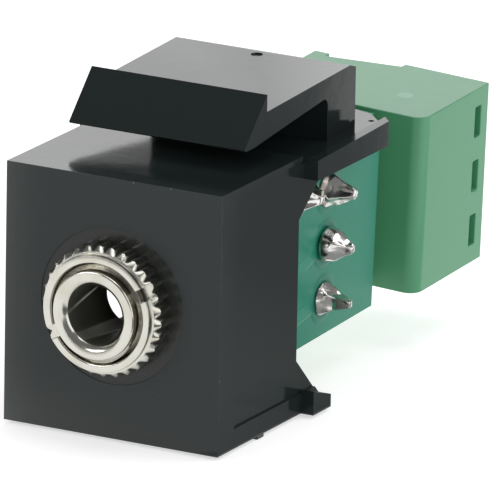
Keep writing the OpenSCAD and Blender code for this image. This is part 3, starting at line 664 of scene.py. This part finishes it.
def makeNut():
    size = nut
    # each tooth has a tip between two shoulders, and a narrow valley beside it
    corners = 4 * size["teeth"]
    piece = startRing("ringNut", size["valley"], size["back"], corners)
    moveTips(piece, range(1, corners, 4), size["tip"] / size["valley"], size["back"])
    moveTips(piece, range(0, corners, 2), size["shoulder"] / size["valley"], size["back"])
    selectLast(piece, corners)
    bpy.ops.mesh.extrude_region_move(
        TRANSFORM_OT_translate={"value": (0, (size["knurlFront"] + size["cone"] - size["back"]) * mm, 0)})
    bpy.ops.mesh.extrude_region_move(TRANSFORM_OT_translate={"value": (0, -size["cone"] * mm, 0)})
    # the teeth run out in a cone at the front, and small steps round the ring's corners
    level, front, ring, rounding = size["knurlFront"], size["front"], size["ring"], size["innerRound"]
    pullIn(piece, level, size["coneEnd"])
    profile = [(size["coneEnd"], level), (ring + 0.03, level - 0.01), (ring, level - 0.04),
        (ring, front + 0.03), (ring - 0.01, front + 0.01), (ring - 0.03, front),
        *arcProfile(size["ringInner"] + rounding, front + rounding, rounding, 270, 180, 4),
        (size["bore"], front + 0.3), (size["bore"], size["back"])]
    turn(profile)
    closeTube()
    cutSlots(piece)
    applyModifier(piece, "BEVEL", width=size["edge"] * mm, segments=2, limit_method="ANGLE",
        angle_limit=math.radians(32), use_clamp_overlap=True)
    shaded(piece, 40)
    wear(piece, "nickel", "module", "ring_nut")
    print("nut made:", len(piece.data.polygons), "faces")


def selectWhere(piece, test):  # leaves edit mode on, with the vertices that pass the test selected
    activate(piece)
    bpy.ops.object.mode_set(mode="EDIT")
    bpy.ops.mesh.select_mode(type="VERT")
    bpy.ops.mesh.select_all(action="DESELECT")
    bpy.ops.object.mode_set(mode="OBJECT")
    for vertex in piece.data.vertices:
        vertex.select = test(vertex)
    bpy.ops.object.mode_set(mode="EDIT")


def moveTips(piece, tips, factor, depth):
    selectWhere(piece, lambda vertex: vertex.index in tips)
    bpy.ops.transform.resize(value=(factor, 1, factor), center_override=(0, depth * mm, 0))


def selectLast(piece, count):
    first = len(piece.data.vertices) - count
    selectWhere(piece, lambda vertex: vertex.index >= first)


def pullIn(piece, depth, radius):  # brings a star-shaped ring to one radius
    for reached in (nut["valley"], nut["shoulder"], nut["tip"]):
        selectWhere(piece, lambda vertex: abs(vertex.co.y - depth * mm) < 1e-6
            and abs(math.hypot(vertex.co.x, vertex.co.z) - reached * mm) < 1e-6)
        factor = radius / reached
        bpy.ops.transform.resize(value=(factor, 1, factor), center_override=(0, depth * mm, 0))
        bpy.ops.object.mode_set(mode="OBJECT")
    selectWhere(piece, lambda vertex: abs(vertex.co.y - depth * mm) < 1e-6)


def cutSlots(piece):
    deselect()
    bpy.ops.mesh.primitive_cube_add(size=1, location=(0, nut["front"] * mm, 0))
    cutter = bpy.context.active_object
    cutter.scale = (10 * mm, 2 * nut["slotDepth"] * mm, nut["slotWidth"] * mm)
    cutter.rotation_euler = (0, -math.radians(nut["slotTurn"]), 0)
    activate(cutter)
    bpy.ops.object.transform_apply(location=True, rotation=True, scale=True)
    applyModifier(piece, "BOOLEAN", operation="DIFFERENCE", object=cutter, solver="EXACT")
    bpy.data.objects.remove(cutter)


makeBushing()
makeNut()


# Solder joints: each flows from the pin's blunt tip to a round foot, with ridges at the pin's corners

joint = {
    # height over the board, half width at the corners and at the middle of each side, from the tip down
    "peaked": ((1.94, 0.17, 0.17), (1.86, 0.26, 0.25), (1.5, 0.37, 0.29), (1.1, 0.55, 0.4),
        (0.7, 0.74, 0.58), (0.34, 0.9, 0.86), (0.1, 0.98, 1.2), (0.0, 1.0, 1.28)),
    "domed": ((1.94, 0.15, 0.16), (1.87, 0.25, 0.25), (1.62, 0.31, 0.3), (1.36, 0.44, 0.44),
        (1.04, 0.63, 0.7), (0.68, 0.8, 0.96), (0.3, 0.87, 1.16), (0.0, 0.9, 1.24)),
    "waisted": ((1.94, 0.16, 0.16), (1.86, 0.25, 0.24), (1.5, 0.29, 0.26), (1.15, 0.33, 0.29),
        (0.8, 0.5, 0.42), (0.45, 0.74, 0.76), (0.14, 0.88, 1.08), (0.0, 0.92, 1.2)),
    # CAD node: form, height, width, turn about the pin, ridge, unevenness, seed
    "copies": {
        "header_solder_1": ("waisted", 1.0, 1.0, -8, 0.6, 0.03, 3),
        "header_solder_2": ("domed", 1.0, 1.0, -18, 0.4, 0.03, 11),
        "header_solder_3": ("peaked", 1.0, 1.02, 31, 0.5, 0.05, 7),
        "tip_solder": ("peaked", 0.84, 1.1, 2, 0.7, 0.04, 8),
        "ring_solder": ("domed", 0.34, 0.72, 3, 0, 0.03, 21),
        "sleeve_solder": ("domed", 0.34, 0.72, -5, 0, 0.03, 30),
    },
}


def makeJoint(form):
    levels = joint[form]
    face = board["face"]
    height, corner, _ = levels[0]
    deselect()
    bpy.ops.mesh.primitive_plane_add(size=2 * corner * mm, location=((face + height) * mm, 0, 0),
        rotation=(0, math.radians(90), 0))
    model = bpy.context.active_object
    activate(model)
    bpy.ops.object.transform_apply(location=True, rotation=True, scale=True)
    bpy.ops.object.mode_set(mode="EDIT")
    bpy.ops.mesh.select_mode(type="VERT")
    bpy.ops.mesh.select_all(action="SELECT")
    bpy.ops.mesh.subdivide(number_cuts=1)
    for (height, half, _), (nextHeight, nextHalf, _) in zip(levels, levels[1:]):
        bpy.ops.mesh.extrude_region_move(
            TRANSFORM_OT_translate={"value": ((nextHeight - height) * mm, 0, 0)})
        bpy.ops.transform.resize(value=(1, nextHalf / half, nextHalf / half),
            center_override=((face + nextHeight) * mm, 0, 0))
    bpy.ops.mesh.select_all(action="SELECT")
    bpy.ops.mesh.normals_make_consistent(inside=False)
    bpy.ops.object.mode_set(mode="OBJECT")
    for height, corner, side in levels[1:]:
        selectWhere(model, lambda vertex: abs(vertex.co.x - (face + height) * mm) < 1e-6
            and min(abs(vertex.co.y), abs(vertex.co.z)) < 1e-6)
        bpy.ops.transform.resize(value=(1, side / corner, side / corner),
            center_override=((face + height) * mm, 0, 0))
        bpy.ops.object.mode_set(mode="OBJECT")
    return model


def makeRidges(piece, strength):  # the pin's corners show as ridges down to the swell of the foot
    mesh = piece.data
    activate(piece)
    bpy.ops.object.mode_set(mode="EDIT")
    bpy.ops.mesh.select_mode(type="EDGE")
    bpy.ops.mesh.select_all(action="DESELECT")
    bpy.ops.object.mode_set(mode="OBJECT")
    for edge in mesh.edges:
        ends = [mesh.vertices[i].co for i in edge.vertices]
        rising = abs(ends[0].x - ends[1].x) > 0.05 * mm
        atCorner = all(min(abs(e.y), abs(e.z)) > 0.6 * max(abs(e.y), abs(e.z)) for e in ends)
        edge.select = rising and atCorner and min(e.x for e in ends) > (board["face"] + 0.3) * mm
    bpy.ops.object.mode_set(mode="EDIT")
    bpy.ops.transform.edge_crease(value=strength)
    bpy.ops.object.mode_set(mode="OBJECT")


def makeJoints():
    models = {form: makeJoint(form) for form in ("peaked", "domed", "waisted")}
    for nodeName, (form, height, width, twist, ridge, unevenness, seed) in joint["copies"].items():
        middleY, middleZ = board["joints"][nodeName]
        piece = bpy.data.objects.new(nodeName.replace("_", "") + "Joint", models[form].data.copy())
        bpy.context.scene.collection.objects.link(piece)
        if ridge:
            makeRidges(piece, ridge)
        activate(piece)
        bpy.ops.object.mode_set(mode="EDIT")
        bpy.ops.mesh.select_all(action="SELECT")
        bpy.ops.transform.vertex_random(offset=unevenness * mm, seed=seed)
        bpy.ops.transform.resize(value=(height, width, width), center_override=(board["face"] * mm, 0, 0))
        bpy.ops.transform.rotate(value=math.radians(twist), orient_axis="X", center_override=(0, 0, 0))
        bpy.ops.transform.translate(value=(0, middleY * mm, middleZ * mm))
        bpy.ops.object.mode_set(mode="OBJECT")
        applyModifier(piece, "SUBSURF", levels=3, render_levels=3)
        activate(piece)
        bpy.ops.object.shade_smooth()
        setOnBoard(piece)
        wear(piece, "solder", "module", nodeName)
    for model in models.values():
        bpy.data.objects.remove(model)
    print("joints made:", len(joint["copies"]))


makeJoints()


# Floor and light

studio = {
    "floorColour": (0.66, 0.66, 0.66), "floorHalf": 3.0, "floorGlow": 0.56,
    "world": 0.2,
    # name: direction from the object, distance, width, height, radiance
    "lights": {
        "backdrop": ((-0.46, 0.84, 0.36), 1.5, 1.6, 0.8, 1.64),
        "overhead": ((0.1, 0.2, 0.95), 1.4, 1.3, 1.1, 2.2),
        "rightSide": ((0.93, 0.12, 0.36), 1.4, 1.8, 1.5, 1.4),
        "leftSide": ((-0.95, 0.3, 0.1), 1.3, 0.8, 0.6, 1.6),
        "frontLeft": ((-0.6, -0.75, 0.5), 1.4, 0.6, 0.6, 5.0),
        "frontRight": ((0.62, -0.72, 0.3), 1.4, 0.5, 0.5, 5.0),
    },
}


# Grey cards on the floor that only reflections see: they darken what the block's right side, the
# socket's mouth and the solder joints mirror

flags = {
    # name: start on the floor, heading, length, width, grey near and far, and the stretch of Y in
    # millimetres over which the grey changes
    "flagBehind": ((0.0034, 0.0013), 61.6, 0.355, 0.0105, 0.56, 0.2, (2, 38)),
    "flagBeside": ((0.018, -0.002), -40.0, 0.12, 0.034, 0.1, 0.1, (0, 1)),
    "flagUnder": ((0.0082, 0.0125), 0, 0.0036, 0.0055, 0.26, 0.26, (0, 1)),
}


def makeFlags(height):
    for name, (start, heading, length, width, near, far, (fadeStart, fadeEnd)) in flags.items():
        turn = math.radians(heading)
        deselect()
        bpy.ops.mesh.primitive_plane_add(size=1, rotation=(0, 0, turn), location=(
            start[0] + length / 2 * math.cos(turn), start[1] + length / 2 * math.sin(turn), height))
        card = bpy.context.active_object
        card.name = name
        card.scale = (length, width, 1)
        activate(card)
        bpy.ops.object.transform_apply(location=True, rotation=True, scale=True)
        grey = Finish(name, Roughness=0.9)
        behind = grey.remap(grey.axis(grey.place(), "Y"), fadeStart, fadeEnd)
        grey.feed("Base Color", grey.blend(behind, (near, near, near), (far, far, far)))
        card.data.materials.append(grey.material)
        card.visible_camera = card.visible_diffuse = card.visible_shadow = False


def makeStudio():
    low = cadBox[0][2]
    deselect()
    bpy.ops.mesh.primitive_plane_add(size=2 * studio["floorHalf"], location=(0, 0, low - 0.02 * mm))
    floor = bpy.context.active_object
    floor.name = "floor"
    paper = Finish("palePaper", Roughness=0.9, Emission_Color=(1, 1, 1),
        Emission_Strength=studio["floorGlow"])
    tone = paper.noise(paper.place(), 60.0, 2)
    darker = tuple(c * 0.98 for c in studio["floorColour"])
    paper.feed("Base Color", paper.blend(tone, studio["floorColour"], darker))
    floor.data.materials.append(paper.material)
    makeFlags(low + 0.3 * mm)
    world = bpy.data.worlds.new("softRoom")
    world.use_nodes = True
    world.node_tree.nodes["Background"].inputs["Color"].default_value = (1, 1, 1, 1)
    world.node_tree.nodes["Background"].inputs["Strength"].default_value = studio["world"]
    bpy.context.scene.world = world
    for name, (direction, distance, width, height, radiance) in studio["lights"].items():
        data = bpy.data.lights.new(name, "AREA")
        data.shape = "RECTANGLE"
        data.size = width
        data.size_y = height
        data.energy = radiance * math.pi * width * height
        lamp = bpy.data.objects.new(name, data)
        bpy.context.scene.collection.objects.link(lamp)
        away = Vector(direction).normalized()
        lamp.location = Vector(viewpoint["target"]) + away * distance
        lamp.rotation_mode = "QUATERNION"
        lamp.rotation_quaternion = away.to_track_quat("Z", "Y")
        lamp.visible_camera = False
        lamp.visible_glossy = name != "frontRight"  # it would show as white spots in the joints
    bpy.context.scene.view_settings.view_transform = "Standard"


makeStudio()
print("studio ready")


# Springs, pins and clamps keep their solids' form

keptNodes = {  # start of the node's name: material slot
    "sleeve_contact": "spring_metal", "ring_contact": "spring_metal", "tip_contact": "spring_metal",
    "header_pin": "tinned_pin", "plug_contact": "contact_brass", "clamp": "plated_steel",
}


def finishKeptNodes():
    for name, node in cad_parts.items():
        if not node.hide_render:
            slotName = next(slot for start, slot in keptNodes.items() if name.startswith(start))
            node.data.materials.clear()
            node.data.materials.append(finishes[slotName])


finishKeptNodes()
